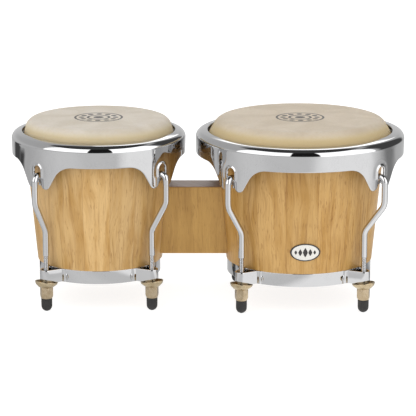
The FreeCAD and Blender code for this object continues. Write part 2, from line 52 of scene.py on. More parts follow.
# ---- the CAD's dimensions, in millimetres, repeated from part.py ----
OVERALL_WIDTH = 471.9
DRUMS = {
    "macho": {"x": -OVERALL_WIDTH / 2 + 104.5, "rim": 104.5, "lip": 91.9, "hoop": 73.4, "foot": 75.0,
              "edge": 75.5, "round": 12.5, "lean": 15.0, "turn": 3.3, "swing": 10.0, "seed": 3.0,
              "wood": ((208, 172, 116), (184, 142, 78), (130, 86, 30)), "streak": 1.05,
              "hide": ((210, 201, 188), (196, 185, 168), (203, 188, 154), (196, 178, 141))},
    "hembra": {"x": OVERALL_WIDTH / 2 - 125.4, "rim": 125.4, "lip": 110.9, "hoop": 87.2, "foot": 88.2,
               "edge": 91.0, "round": 14.0, "lean": 30.0, "turn": 2.7, "swing": 5.7, "seed": 11.0,
               "wood": ((200, 160, 98), (178, 134, 66), (128, 82, 26)), "streak": 1.3,
               "hide": ((203, 189, 169), (189, 174, 152), (199, 180, 138), (190, 168, 124))},
}
HEAD_TOP = 222.8
SKIN = 1.2
FLESH_WIRE = 3.2
RIM_TOP = 209.0
SHEET = 2.3
SHOULDER_ROUND = 8.4
SHOULDER_Z = 199.5
SKIRT_TAPER = tan(radians(1.5))
BAND_BOTTOM = 180.8
HOOP_TOP = 50.8
HOOP_BOTTOM = 34.7
TAPER = 0.095
WALL = 12.0
STAVES = 16
ROD = 3.7
HOOK = 7.2
HOOK_CLEARANCE = 0.7
LOOP_REACH = 15.5
ROD_STANDOFF = 4.8
THREAD = 3.17
THREAD_DEPTH = 0.46
PITCH = 0.907
THREAD_TOP = 67.7
ROD_FOOT = 17.0
LOWER_BEND = 98.5
UPPER_BEND = 134.0
BEND_ROUND = 16.0
WASHER_LIP = 2.8
NUT_TOP = 29.5
NUT_FLATS = 14.3
TIP_TOP = 15.5


# ================================ mesh helpers ================================
def make_object(name, verts, faces, material, body, replaces=(), sharp=40):
    """A piece from vertices in millimetres, in the row frame, riding on a CAD body."""
    mesh = bpy.data.meshes.new(name)
    mesh.from_pydata((np.asarray(verts, float) * MM).tolist(), [], faces)
    work = bmesh.new()
    work.from_mesh(mesh)
    bmesh.ops.remove_doubles(work, verts=work.verts, dist=2e-6)
    bmesh.ops.dissolve_degenerate(work, edges=work.edges, dist=1e-7)
    bmesh.ops.recalc_face_normals(work, faces=work.faces)
    work.to_mesh(mesh)
    work.free()
    mesh.polygons.foreach_set("use_smooth", [True] * len(mesh.polygons))
    mesh.set_sharp_from_angle(angle=radians(sharp))
    for one in material if isinstance(material, (list, tuple)) else [material]:
        mesh.materials.append(one)
    piece = bpy.data.objects.new(name, mesh)
    bpy.context.scene.collection.objects.link(piece)
    if body:
        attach(piece, body)
    if replaces:
        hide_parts(*replaces)
    return piece


def full_turn(steps):
    """Equal angles round a full turn."""
    return np.arange(steps) * 2 * pi / steps


def spokes(start, end, steps):
    """Unit vectors from one angle to another, in degrees."""
    return [np.array([cos(a), sin(a)]) for a in np.radians(np.linspace(start, end, steps))]


def grid_faces(rows, columns, close_rows=False, offset=0):
    """Quads of a grid whose columns close round; rows may close too."""
    faces = []
    last = rows if close_rows else rows - 1
    for row in range(last):
        following = (row + 1) % rows
        for column in range(columns):
            beside = (column + 1) % columns
            faces.append((offset + row * columns + column, offset + row * columns + beside,
                          offset + following * columns + beside, offset + following * columns + column))
    return faces


def lathe(profile, segments, centre=(0.0, 0.0), closed=True, shape=None):
    """A profile of (radius, z) turned about an upright axis. shape may change the radii."""
    angles = full_turn(segments)
    rings = []
    for radius, height in profile:
        radii = np.full(segments, float(radius)) if shape is None else shape(radius, height, angles)
        x, y = centre[0] + radii * np.cos(angles), centre[1] + radii * np.sin(angles)
        rings.append(np.column_stack([x, y, np.full(segments, float(height))]))
    return np.vstack(rings), grid_faces(len(profile), segments, closed)


def unit(vector):
    """A vector's direction."""
    return vector / np.linalg.norm(vector)


def corner_arc(before, corner, after, radius, steps):
    """Points of the arc that rounds a corner between two straight runs."""
    back, onward = unit(before - corner), unit(after - corner)
    opening = acos(max(-1.0, min(1.0, float(back @ onward))))
    centre = corner + unit(back + onward) * radius / sin(opening / 2)
    reach = radius / tan(opening / 2)
    begin, end = corner + back * reach - centre, corner + onward * reach - centre
    sweep = pi - opening
    return [centre + (begin * sin((1 - t) * sweep) + end * sin(t * sweep)) / sin(sweep)
            for t in (k / steps for k in range(steps + 1))]


def rounded(corners, steps=4):
    """A closed outline of (u, v, fillet radius) corners, as points with each corner rounded."""
    points = []
    for index, (u, v, radius) in enumerate(corners):
        here = np.array([u, v], float)
        before = np.array(corners[index - 1][:2], float)
        after = np.array(corners[(index + 1) % len(corners)][:2], float)
        straight = unit(here - before) @ unit(after - here) > cos(0.02)
        if radius <= 0 or straight:
            points.append((u, v))
        else:
            points += corner_arc(before, here, after, radius, steps)
    return points


def arc_points(centre, radius, start, end, steps):
    """Points of an arc, angles in degrees from +u towards +v."""
    angles = [radians(start + (end - start) * k / steps) for k in range(steps + 1)]
    return [(centre[0] + radius * cos(a), centre[1] + radius * sin(a)) for a in angles]


def to_lug(points, drum, azimuth):
    """Points given as (out, across, up) at a lug, turned to its azimuth and moved to its drum."""
    turn = radians(azimuth - 90)
    out, across, up = np.asarray(points, float).T
    return np.column_stack([drum["x"] + out * cos(turn) - across * sin(turn),
                            out * sin(turn) + across * cos(turn), up])


def swept(rings):
    """Points and faces of a tube through rings of equally many points, closed at both ends."""
    columns = len(rings[0])
    points = np.array([point for ring in rings for point in ring])
    faces = grid_faces(len(rings), columns)
    faces.append(tuple(range(columns))[::-1])
    faces.append(tuple(range(len(points) - columns, len(points))))
    return points, faces


def merge(parts):
    """Several (vertices, faces) as one."""
    verts, faces, count = [], [], 0
    for some_verts, some_faces in parts:
        verts.append(np.asarray(some_verts, float))
        faces += [tuple(index + count for index in face) for face in some_faces]
        count += len(some_verts)
    return np.vstack(verts), faces


def outer_radius(drum, height):
    """A shell's outer radius at a height."""
    return drum["foot"] + TAPER * (height - HOOP_TOP)


def lug_angles(drum):
    """The lugs' directions, in degrees from the front (-Y) towards +X."""
    return [drum["turn"] + 45 + 90 * lug for lug in range(4)]


def rod_radii(drum):
    """How far a tuning rod stands from the drum's axis: at its nut, and at its hook."""
    return drum["hoop"] + LOOP_REACH, drum["rim"] + ROD_STANDOFF


def rod_arm(drum):
    """How far a rod's foot stands from the rim it hooks over, seen from above."""
    low = rod_radii(drum)[0]
    swing = radians(drum["swing"])
    return drum["rim"] * cos(swing) - sqrt(low**2 - (drum["rim"] * sin(swing)) ** 2)


def foot_angles(drum):
    """The rods' feet's directions, a little behind the ears' because the rods are swung."""
    behind = asin(rod_arm(drum) * sin(radians(drum["swing"])) / rod_radii(drum)[0])
    return [angle - degrees(behind) for angle in lug_angles(drum)]


# ================================ materials ================================
class Shader:
    """A small builder for node materials."""

    def __init__(self, name):
        self.material = bpy.data.materials.new(name)
        self.material.use_nodes = True
        self.tree = self.material.node_tree
        self.surface = next(n for n in self.tree.nodes if n.type == "BSDF_PRINCIPLED")

    def node(self, kind, inputs=(), **settings):
        made = self.tree.nodes.new(kind)
        for key, value in settings.items():
            setattr(made, key, value)
        for key, value in dict(inputs).items():
            self.put(made.inputs[key], value)
        return made

    def put(self, socket, value):
        if isinstance(value, bpy.types.NodeSocket):
            self.tree.links.new(value, socket)
        else:
            socket.default_value = value

    def math(self, operation, a, b=0.0):
        return self.node("ShaderNodeMath", {0: a, 1: b}, operation=operation).outputs[0]

    def plus(self, a, b):
        return self.math("ADD", a, b)

    def minus(self, a, b):
        return self.math("SUBTRACT", a, b)

    def times(self, a, b):
        return self.math("MULTIPLY", a, b)

    def length(self, x, y):
        return self.math("SQRT", self.plus(self.math("POWER", x, 2.0), self.math("POWER", y, 2.0)))

    def place(self, centre=(0, 0, 0)):
        """X, Y and Z in millimetres from a centre, which is itself in millimetres."""
        coords = self.node("ShaderNodeTexCoord").outputs["Object"]
        scaled = self.node("ShaderNodeVectorMath", {0: coords, 3: 1000.0}, operation="SCALE").outputs[0]
        moved = self.node("ShaderNodeVectorMath", {0: scaled, 1: centre}, operation="SUBTRACT").outputs[0]
        split = self.node("ShaderNodeSeparateXYZ", {0: moved})
        return split.outputs[0], split.outputs[1], split.outputs[2]

    def vector(self, x=0.0, y=0.0, z=0.0):
        return self.node("ShaderNodeCombineXYZ", {0: x, 1: y, 2: z}).outputs[0]

    def noise(self, vector, scale=1.0, detail=3.0, roughness=0.5, distortion=0.0):
        inputs = {"Vector": vector, "Scale": scale, "Detail": detail, "Roughness": roughness,
                  "Distortion": distortion}
        return self.node("ShaderNodeTexNoise", inputs).outputs["Fac"]

    def remap(self, value, low, high, to_low=0.0, to_high=1.0):
        made = self.node("ShaderNodeMapRange", {0: value, 1: low, 2: high, 3: to_low, 4: to_high})
        made.interpolation_type = "SMOOTHSTEP"
        return made.outputs[0]

    def mix(self, factor, a, b, blend="MIX"):
        made = self.node("ShaderNodeMix", data_type="RGBA", blend_type=blend)
        made.clamp_factor = True
        self.put(made.inputs[0], factor)
        self.put(made.inputs[6], a)
        self.put(made.inputs[7], b)
        return made.outputs[2]

    def laid_on(self, under, mask, level):
        """A level laid on what is under it, where a mask is 1."""
        return self.plus(self.times(under, self.minus(1.0, mask)), self.times(mask, level))

    def window(self, value, low, high, soft):
        """1 between two values, 0 outside them, with soft edges."""
        start = self.remap(value, low - soft, low + soft)
        end = self.remap(value, high - soft, high + soft, 1.0, 0.0)
        return self.times(start, end)

    def bump(self, height, distance, strength=1.0):
        """Surface relief from a height of 0 to 1, whose full depth is given in millimetres."""
        inputs = {"Height": height, "Distance": distance * MM, "Strength": strength}
        return self.node("ShaderNodeBump", inputs).outputs[0]

    def finish(self, **inputs):
        for key, value in inputs.items():
            self.put(self.surface.inputs[key.replace("_", " ")], value)
        return self.material


def srgb(red, green, blue):
    """A linear colour from screen values of 0 to 255."""
    def linear(value):
        value /= 255
        return value / 12.92 if value <= 0.04045 else ((value + 0.055) / 1.055) ** 2.4
    return (linear(red), linear(green), linear(blue), 1.0)


def wood_finish(shader, along, across, depth, tones, seed, stave=None, streak=1.0):
    """The colour, roughness and relief of grain that runs along one coordinate, all in millimetres."""
    light, middle, dark = tones
    shift = seed if stave is None else shader.plus(shader.times(stave, 37.3), seed)
    u = shader.plus(across, shader.times(shift, 3.7))
    v = shader.plus(along, shader.times(shift, 11.3))

    def pattern(side, side_scale, along_scale, detail, roughness=0.5, third=shift):
        place = shader.vector(shader.times(side, side_scale), shader.times(v, along_scale), third)
        return shader.noise(place, 1.0, detail, roughness)

    warp = pattern(u, 0.02, 0.009, 2.0)
    bent = shader.plus(u, shader.times(shader.minus(warp, 0.5), 26.0))
    figure = pattern(bent, 0.085, 0.009, 3.0, 0.55, shader.times(depth, 0.03))
    streaks = pattern(bent, 0.42, 0.016, 3.0, 0.6)
    fibres = pattern(bent, 1.9, 0.05, 2.0, 0.6)
    flecks = pattern(bent, 0.95, 0.10, 1.0)
    cloud = pattern(u, 0.03, 0.03, 2.0)
    colour = shader.mix(shader.remap(figure, 0.38, 0.66), light, middle)
    for marks, low, high, strength in ((streaks, 0.5, 0.8, 0.62), (fibres, 0.35, 0.75, 0.26),
                                       (flecks, 0.62, 0.72, 0.5)):
        colour = shader.mix(shader.times(shader.remap(marks, low, high), strength * streak), colour, dark)
    colour = shader.mix(shader.times(shader.remap(cloud, 0.3, 0.7), 0.3), colour, light)
    if stave is not None:
        chance = shader.node("ShaderNodeTexWhiteNoise", {"W": shift}, noise_dimensions="1D").outputs[0]
        tone = shader.remap(chance, 0.0, 1.0, 0.93, 1.05)
        colour = shader.mix(1.0, colour, shader.vector(tone, tone, tone), "MULTIPLY")
    rough = shader.remap(streaks, 0.3, 0.8, 0.36, 0.5)
    height = shader.plus(fibres, shader.times(flecks, 0.6))
    return colour, rough, shader.bump(height, 0.05, 0.5)


def shell_wood(name, drum):
    """Staved wood: the grain is upright, and each stave has its own tone and figure."""
    shader = Shader(name)
    x, y, z = shader.place((drum["x"], 0, 0))
    angle = shader.math("ARCTAN2", x, shader.times(y, -1.0))
    turns = shader.times(angle, STAVES / (2 * pi))
    stave = shader.math("FLOOR", shader.plus(turns, 0.5))
    within = shader.math("ABSOLUTE", shader.minus(turns, stave))
    across = shader.times(angle, drum["foot"] + 9.0)
    tones = [srgb(*tone) for tone in drum["wood"]]
    colour, rough, bump = wood_finish(shader, z, across, shader.length(x, y), tones, drum["seed"], stave,
                                      drum["streak"])
    seam = shader.remap(within, 0.485, 0.5, 0.0, 0.45)
    colour = shader.mix(seam, colour, tones[2])
    shader.surface.inputs["Specular IOR Level"].default_value = 0.35
    return shader.finish(Base_Color=colour, Roughness=rough, Normal=bump, Coat_Weight=0.1,
                         Coat_Roughness=0.16)


def block_wood():
    """The centre block's wood, with grey end grain on its top."""
    shader = Shader("block_wood")
    x, y, z = shader.place()
    tones = srgb(190, 148, 74), srgb(172, 130, 58), srgb(138, 94, 32)
    across = shader.plus(x, shader.times(y, 0.7))
    colour, rough, bump = wood_finish(shader, z, across, y, tones, 23.0, streak=1.2)
    normal = shader.node("ShaderNodeNewGeometry").outputs["Normal"]
    upward = shader.node("ShaderNodeSeparateXYZ", {0: normal}).outputs[2]
    colour = shader.mix(shader.remap(upward, 0.5, 0.95), colour, srgb(150, 122, 104))
    return shader.finish(Base_Color=colour, Roughness=rough, Normal=bump, Coat_Weight=0.15,
                         Coat_Roughness=0.2)


def bare_wood():
    """The backing blocks' unlacquered wood."""
    shader = Shader("backing_wood")
    x, y, z = shader.place()
    tones = srgb(214, 180, 132), srgb(198, 158, 108), srgb(150, 106, 62)
    colour, _, bump = wood_finish(shader, z, y, x, tones, 5.0)
    return shader.finish(Base_Color=colour, Roughness=0.75, Normal=bump)


def skin(name, drum):
    """Hide: cool and pale on the playing face, yellower down the collar, with printed rings and dots."""
    shader = Shader(name)
    x, y, z = shader.place((drum["x"], 0, 0))
    radius = shader.length(x, y)
    here = shader.vector(x, y, z)
    mottle = shader.noise(here, 0.022, 4.0, 0.55, 0.6)
    fine = shader.noise(here, 0.35, 3.0, 0.6)
    pores = shader.noise(here, 1.6, 2.0, 0.6)
    pale, grey, yellow, brown = (srgb(*tone) for tone in drum["hide"])
    face = shader.mix(shader.remap(mottle, 0.3, 0.7), pale, grey)
    face = shader.mix(shader.times(shader.remap(fine, 0.4, 0.75), 0.15), face, brown)
    fallen = shader.remap(z, HEAD_TOP - 10.0, HEAD_TOP - 1.5, 1.0, 0.0)
    collar = shader.mix(shader.remap(z, RIM_TOP - 1.0, RIM_TOP + 10.0), brown, yellow)
    collar = shader.mix(shader.times(shader.remap(fine, 0.45, 0.7), 0.3), collar, brown)
    colour = shader.mix(fallen, face, collar)
    angle = shader.math("ARCTAN2", y, x)

    def ring(middle, half_width):
        distance = shader.math("ABSOLUTE", shader.minus(radius, middle))
        return shader.remap(distance, half_width - 0.25, half_width + 0.25, 1.0, 0.0)

    def dots(middle, count, size):
        step = 2 * pi / count
        nearest = shader.times(shader.math("ROUND", shader.math("DIVIDE", angle, step)), step)
        off = shader.minus(angle, nearest)
        along = shader.minus(shader.times(radius, shader.math("COSINE", off)), middle)
        beside = shader.times(radius, shader.math("SINE", off))
        distance = shader.length(along, beside)
        return shader.remap(distance, size - 0.25, size + 0.25, 1.0, 0.0)

    ink = ring(28.0, 1.3)
    for mark in (dots(20.6, 12, 3.4), ring(12.8, 1.5), ring(0.0, 6.2)):
        ink = shader.math("MAXIMUM", ink, mark)
    worn = shader.times(ink, shader.remap(pores, 0.25, 0.6, 0.82, 0.97))
    on_top = shader.remap(z, HEAD_TOP - 1.5, HEAD_TOP - 1.0)
    colour = shader.mix(shader.times(worn, on_top), colour, srgb(44, 40, 40))
    height = shader.plus(shader.times(mottle, 2.0), shader.plus(fine, pores))
    return shader.finish(Base_Color=colour, Roughness=shader.remap(fine, 0.3, 0.7, 0.5, 0.66),
                         Normal=shader.bump(height, 0.12, 0.35), Subsurface_Weight=0.12,
                         Subsurface_Radius=(0.006, 0.004, 0.002), Subsurface_Scale=0.6, Sheen_Weight=0.08)


def chrome(name="chrome", tint=(0.565, 0.565, 0.57), low=0.03, high=0.08, grain=0.02):
    """Bright plating, a little smeared."""
    shader = Shader(name)
    here = shader.vector(*shader.place())
    cloud = shader.noise(here, 0.05, 3.0, 0.6)
    haze = shader.noise(here, 0.6, 3.0, 0.65)
    smear = shader.times(shader.remap(cloud, 0.35, 0.7), shader.remap(haze, 0.3, 0.75))
    colour = shader.mix(smear, (*tint, 1.0), tuple(0.94 * t for t in tint) + (1.0,))
    return shader.finish(Base_Color=colour, Metallic=1.0, Roughness=shader.remap(smear, 0.0, 1.0, low, high),
                         Normal=shader.bump(haze, grain, 0.25))


def satin_metal(name, light, dark, low, high, grain=0.05):
    """Plated or bare steel with a fine tooth and a little discolouring."""
    shader = Shader(name)
    x, y, z = shader.place()
    here = shader.vector(x, y, z)
    cloud = shader.noise(here, 0.16, 4.0, 0.6)
    tooth = shader.noise(here, 2.2, 2.0, 0.6)
    turned = shader.noise(shader.vector(shader.times(x, 0.1), shader.times(y, 0.1),
                                        shader.times(z, 5.0)), 1.0, 2.0, 0.6)
    colour = shader.mix(shader.remap(cloud, 0.3, 0.7), light, dark)
    height = shader.plus(tooth, turned)
    return shader.finish(Base_Color=colour, Metallic=1.0, Roughness=shader.remap(tooth, 0.3, 0.7, low, high),
                         Normal=shader.bump(height, grain, 0.4))


def rubber():
    """Dusty black rubber."""
    shader = Shader("black_rubber")
    here = shader.vector(*shader.place())
    grain = shader.noise(here, 1.3, 3.0, 0.65)
    dust = shader.noise(here, 0.2, 4.0, 0.6)
    colour = shader.mix(shader.remap(dust, 0.45, 0.8), srgb(34, 33, 32), srgb(50, 48, 46))
    return shader.finish(Base_Color=colour, Roughness=shader.remap(grain, 0.3, 0.7, 0.55, 0.8),
                         Normal=shader.bump(grain, 0.1, 0.5))


def painted(name, colour, worn, roughness, metallic=0.0):
    """Paint or enamel, a little worn."""
    shader = Shader(name)
    grain = shader.noise(shader.vector(*shader.place()), 0.9, 3.0, 0.6)
    mixed = shader.mix(shader.remap(grain, 0.3, 0.75), colour, worn)
    return shader.finish(Base_Color=mixed, Roughness=roughness, Metallic=metallic,
                         Normal=shader.bump(grain, 0.02, 0.3))


CHROME = chrome()
ROD_CHROME = chrome("rod_chrome", (0.6, 0.6, 0.605), 0.06, 0.12)
WIRE = satin_metal("flesh_hoop_steel", srgb(170, 170, 168), srgb(138, 136, 132), 0.35, 0.5)
ZINC = satin_metal("zinc_plate", srgb(196, 198, 202), srgb(170, 172, 178), 0.28, 0.42)
NUT_METAL = satin_metal("nut_metal", srgb(192, 175, 148), srgb(172, 153, 124), 0.26, 0.36, 0.015)
WASHER_METAL = satin_metal("washer_metal", srgb(196, 180, 150), srgb(176, 157, 124), 0.22, 0.34, 0.015)
RUBBER = rubber()
BLOCK_WOOD = block_wood()
BACKING_WOOD = bare_wood()
BADGE_FACE = painted("badge_face", srgb(232, 230, 224), srgb(214, 212, 206), 0.35, 0.35)
BADGE_INK = painted("badge_ink", srgb(40, 38, 38), srgb(58, 54, 52), 0.45)


# ================================ shells and heads ================================
def build_shell(name, drum):
    """A wooden shell with its bearing edge and the step for its bottom hoop."""
    neck = HEAD_TOP - 30.0
    step = drum["hoop"] - 2.4
    edge_z = HEAD_TOP - drum["round"]
    edge_round = drum["round"] - SKIN - 0.1
    profile = rounded([
        (drum["edge"] - 0.6, edge_z + edge_round - 1.5, 0.4),
        (outer_radius(drum, neck) - WALL, neck, 4.0),
        (outer_radius(drum, HOOP_BOTTOM + 1) - WALL, HOOP_BOTTOM + 1.0, 1.0),
        (step, HOOP_BOTTOM + 1.0, 0.5),
        (step, HOOP_TOP + 0.1, 0.0),
        (outer_radius(drum, HOOP_TOP), HOOP_TOP + 0.1, 0.5),
        (outer_radius(drum, neck), neck, 6.0),
        (drum["edge"] + edge_round, edge_z, 0.0),
    ])
    profile += arc_points((drum["edge"], edge_z), edge_round, 12, 90, 10)
    verts, faces = lathe(profile, 192, (drum["x"], 0))
    wood = shell_wood(name + "_wood", drum)
    make_object(name + "_shell_wood", verts, faces, wood, ROOT, [name + "_shell"])


def collar_frame(drum):
    """The rounded edge's foot, the collar's outward normal and the flesh hoop's centre, in (radius, z)."""
    lean = radians(drum["lean"])
    normal = np.array([cos(lean), sin(lean)])
    start = np.array([drum["edge"], HEAD_TOP - drum["round"]]) + normal * drum["round"]
    hoop_z = RIM_TOP - SHEET - 1.4 - SKIN - FLESH_WIRE
    reach = FLESH_WIRE + 0.05
    hoop_r = start[0] + (reach - (hoop_z - start[1]) * normal[1]) / normal[0]
    return start, normal, np.array([hoop_r, hoop_z])


def build_head(name, drum):
    """The skin: a flat face, a rounded edge, the collar, and the tuck that wraps the flesh hoop."""
    start, normal, hoop = collar_frame(drum)
    lean = drum["lean"]
    edge = (drum["edge"], HEAD_TOP - drum["round"])
    touch = hoop - normal * (FLESH_WIRE + 0.05)
    middle_radius = FLESH_WIRE + 0.05 + SKIN / 2
    line = [(0.0, HEAD_TOP - SKIN / 2)]
    line += [(drum["edge"] * t, HEAD_TOP - SKIN / 2) for t in (0.2, 0.4, 0.6, 0.75, 0.88, 0.96)]
    line += arc_points(edge, drum["round"] - SKIN / 2, 90, lean, 14)
    leg = touch - normal * SKIN / 2
    first = start - normal * SKIN / 2
    line += [tuple(first + (leg - first) * t) for t in (0.25, 0.5, 0.75, 0.9)]
    line += arc_points(hoop, middle_radius, -180 + lean, 100, 22)
    line = np.array(line)
    tangent = np.gradient(line, axis=0)
    tangent /= np.linalg.norm(tangent, axis=1)[:, None]
    side = np.column_stack([-tangent[:, 1], tangent[:, 0]])
    side[0] = (0, 1)
    half = SKIN / 2
    upper, lower = line + side * half, line - side * half
    upper[0, 0] = lower[0, 0] = 0.0
    upper[:7, 1] = HEAD_TOP
    lower[:7, 1] = HEAD_TOP - SKIN
    profile = [tuple(p) for p in upper] + [tuple(p) for p in lower[::-1]]
    rng = np.random.default_rng(int(drum["seed"]))
    phases = rng.uniform(0, 2 * pi, 6)

    def hide(radius, height, angles):
        """Puckers that grow down the collar, where the hide is drawn over its hoop."""
        fall = max(0.0, min(1.0, (HEAD_TOP - 8.0 - height) / 16.0))
        waves = sum(np.sin(angles * (5 + 4 * k) + phases[k]) / (2 + k) for k in range(6))
        return np.maximum(0.0, radius + 0.22 * fall * waves)

    verts, faces = lathe(profile, 192, (drum["x"], 0), closed=False, shape=hide)
    piece = make_object(name + "_skin", verts, faces, skin(name + "_hide", drum), None,
                        [name + "_head"], sharp=60)
    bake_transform(piece)


# ================================ crown rims ================================
LOBE_CENTRE, LOBE_ROUND, LOBE_BOTTOM = 11.4, 7.2, 152.0
NOTCH_TOP = 159.8
FLANK_ANGLE, FLANK_FILLET = 58.0, 26.0
SLOT_HALF, SLOT_BOTTOM, SLOT_TOP = 5.3, 163.5, 179.9
SKIRT_CUT = 192.0
DISH_BOTTOM = SLOT_BOTTOM + 1.5
# rows of points that follow an edge, the spacing of the points between, and a distance that means no edge
EDGE_STEPS = [0.0, 0.12, 0.38, 0.72, 1.15]
MARGIN = 1.9
FAR = 9.0
QUADRANT_COLUMNS = 96


def ear_edge():
    """Right half of an ear's outline, from the notch's top out to the band, and its outward normals."""
    lobe = np.array([LOBE_CENTRE, LOBE_BOTTOM + LOBE_ROUND])
    rise = NOTCH_TOP + LOBE_ROUND - lobe[1]
    centre_z = (NOTCH_TOP + LOBE_ROUND + lobe[1]) / 2 - LOBE_CENTRE**2 / (2 * rise)
    notch_round = NOTCH_TOP - centre_z
    notch = np.array([0.0, centre_z])
    towards = degrees(atan2(lobe[1] - centre_z, LOBE_CENTRE))
    slope = radians(FLANK_ANGLE)
    foot = lobe + LOBE_ROUND * np.array([sin(slope), -cos(slope)])
    rise = FLANK_FILLET * (1 - cos(slope))
    length = (BAND_BOTTOM - rise - foot[1]) / sin(slope)
    top = foot + length * np.array([cos(slope), sin(slope)])
    fillet = np.array([top[0] + FLANK_FILLET * sin(slope), BAND_BOTTOM - FLANK_FILLET])
    points, normals = [], []

    def add(point, normal):
        points.append(point)
        normals.append(np.array(normal) / np.linalg.norm(normal))

    for spoke in spokes(90, towards, 9):
        add(notch + notch_round * spoke, -spoke)
    for spoke in spokes(towards - 180, FLANK_ANGLE - 90, 18)[1:]:
        add(lobe + LOBE_ROUND * spoke, spoke)
    flank_normal = np.array([sin(slope), -cos(slope)])
    for t in np.linspace(0, 1, 8)[1:]:
        add(foot + (top - foot) * t, flank_normal)
    for spoke in spokes(90 + FLANK_ANGLE, 90, 16)[1:]:
        add(fillet + FLANK_FILLET * spoke, -spoke)
    return points, normals


def slot_edge(steps=11):
    """A slot's outline, counterclockwise, and the normals that point out of the slot into the sheet."""
    high, low = SLOT_TOP - SLOT_HALF, SLOT_BOTTOM + SLOT_HALF
    points, normals = [], []
    for side, centre, end, start in ((-1.0, high, low, 0), (1.0, low, high, 180)):
        for spoke in spokes(start, start + 180, steps):
            points.append(np.array([0, centre]) + SLOT_HALF * spoke)
            normals.append(spoke)
        for t in (0.25, 0.5, 0.75):
            points.append(np.array([side * SLOT_HALF, centre + (end - centre) * t]))
            normals.append(np.array([side, 0.0]))
    return points, normals


def inside(point, outline):
    """Whether a point is inside a closed outline."""
    x, y = point
    odd = False
    for (x1, y1), (x2, y2) in zip(outline, outline[1:] + outline[:1]):
        if (y1 > y) != (y2 > y) and x < x1 + (y - y1) * (x2 - x1) / (y2 - y1):
            odd = not odd
    return odd


def slot_distance(across, height):
    """Distance outside a slot's edge."""
    high, low = SLOT_TOP - SLOT_HALF, SLOT_BOTTOM + SLOT_HALF
    nearest = min(max(height, low), high)
    return hypot(across, height - nearest) - SLOT_HALF


def pressing(across, height):
    """How far the outer face stands proud: a rolled lip round a slot, inside a shallow dish."""
    distance = slot_distance(across, height)
    upper = min(1.0, max(0.0, (height - SLOT_BOTTOM - 1.0) / 4.0))
    lip = 0.9 * exp(-((distance - 1.1) / 1.05) ** 2) * upper
    dish = -0.35 * exp(-((distance - 4.4) / 2.2) ** 2) * upper
    return lip + dish


def quadrant_sheet(half_width):
    """A flat pattern of one ear and its share of the skirt: points, triangles and distances from an edge."""
    right = list(zip(*ear_edge()))
    left = [(np.array([-p[0], p[1]]), np.array([-n[0], n[1]])) for p, n in right][::-1]
    ear = left + right[1:]
    downward = np.array([0.0, -1.0])
    start, run = ear[0][0][0], half_width - ear[-1][0][0]
    count = max(4, int(run / 1.8))
    for _ in range(count):
        ear.append((np.array([ear[-1][0][0] + run / count, BAND_BOTTOM]), downward))
    ear = [(np.array([start - run * k / count, BAND_BOTTOM]), downward) for k in range(count, 0, -1)] + ear
    points, depth = [], []

    def add(point, distance):
        points.append(Vector((float(point[0]), float(point[1]))))
        depth.append(distance)
        return len(points) - 1

    rows = [[add(p - n * step, step) for p, n in ear] for step in EDGE_STEPS + [MARGIN]]
    slot = list(zip(*slot_edge()))
    slot_rows = []
    for step in EDGE_STEPS + [1.6, 2.1, 2.7, 3.4, 4.3]:
        around = [p + n * step for p, n in slot]
        slot_rows.append([add(q, step) for q in around if step <= EDGE_STEPS[-1] or q[1] > DISH_BOTTOM])
    hole_row = slot_rows[0]
    top_row = [add((-half_width + 2 * half_width * k / QUADRANT_COLUMNS, SKIRT_CUT), FAR)
               for k in range(QUADRANT_COLUMNS + 1)]
    edges = list(zip(rows[0], rows[0][1:])) + list(zip(hole_row, hole_row[1:] + hole_row[:1]))
    edges += list(zip(top_row, top_row[1:]))
    for side, end in ((-1, 0), (1, -1)):
        chain = [row[end] for row in rows]
        for height in np.linspace(BAND_BOTTOM + MARGIN, SKIRT_CUT, 6)[1:-1]:
            chain.append(add((side * half_width, height), FAR))
        chain.append(top_row[end])
        edges += list(zip(chain, chain[1:]))
    outline = [tuple(points[k]) for k in rows[0]] + [tuple(points[k]) for k in reversed(top_row)]
    hole = [tuple(points[k]) for k in hole_row]
    rim_points = np.array(outline[:len(rows[0])])
    for row, height in enumerate(np.arange(LOBE_BOTTOM + 1.0, SKIRT_CUT - 0.9, MARGIN)):
        for across in np.arange(-half_width + 1.2 + (row % 2) * MARGIN / 2, half_width - 1.0, MARGIN):
            if not inside((across, height), outline):
                continue
            clear = np.min(np.hypot(rim_points[:, 0] - across, rim_points[:, 1] - height))
            wanted = 5.2 if height > DISH_BOTTOM else 2.0
            if clear > 2.7 and slot_distance(across, height) > wanted:
                add((across, height), FAR)
    out_points, _, triangles, origins = delaunay_2d_cdt(points, edges, [], 0, 1e-5)[:4]
    kept = []
    for triangle in triangles:
        middle = tuple(sum(out_points[k][axis] for k in triangle) / 3 for axis in (0, 1))
        if inside(middle, outline) and not inside(middle, hole):
            kept.append(tuple(triangle))
    distances = [depth[o[0]] if o else FAR for o in origins]
    return [tuple(p) for p in out_points], kept, distances


def skirt_radius(drum, height):
    """A rim's outer radius at a height on its skirt, which tapers downwards."""
    return drum["rim"] - max(0.0, SHOULDER_Z - height) * SKIRT_TAPER


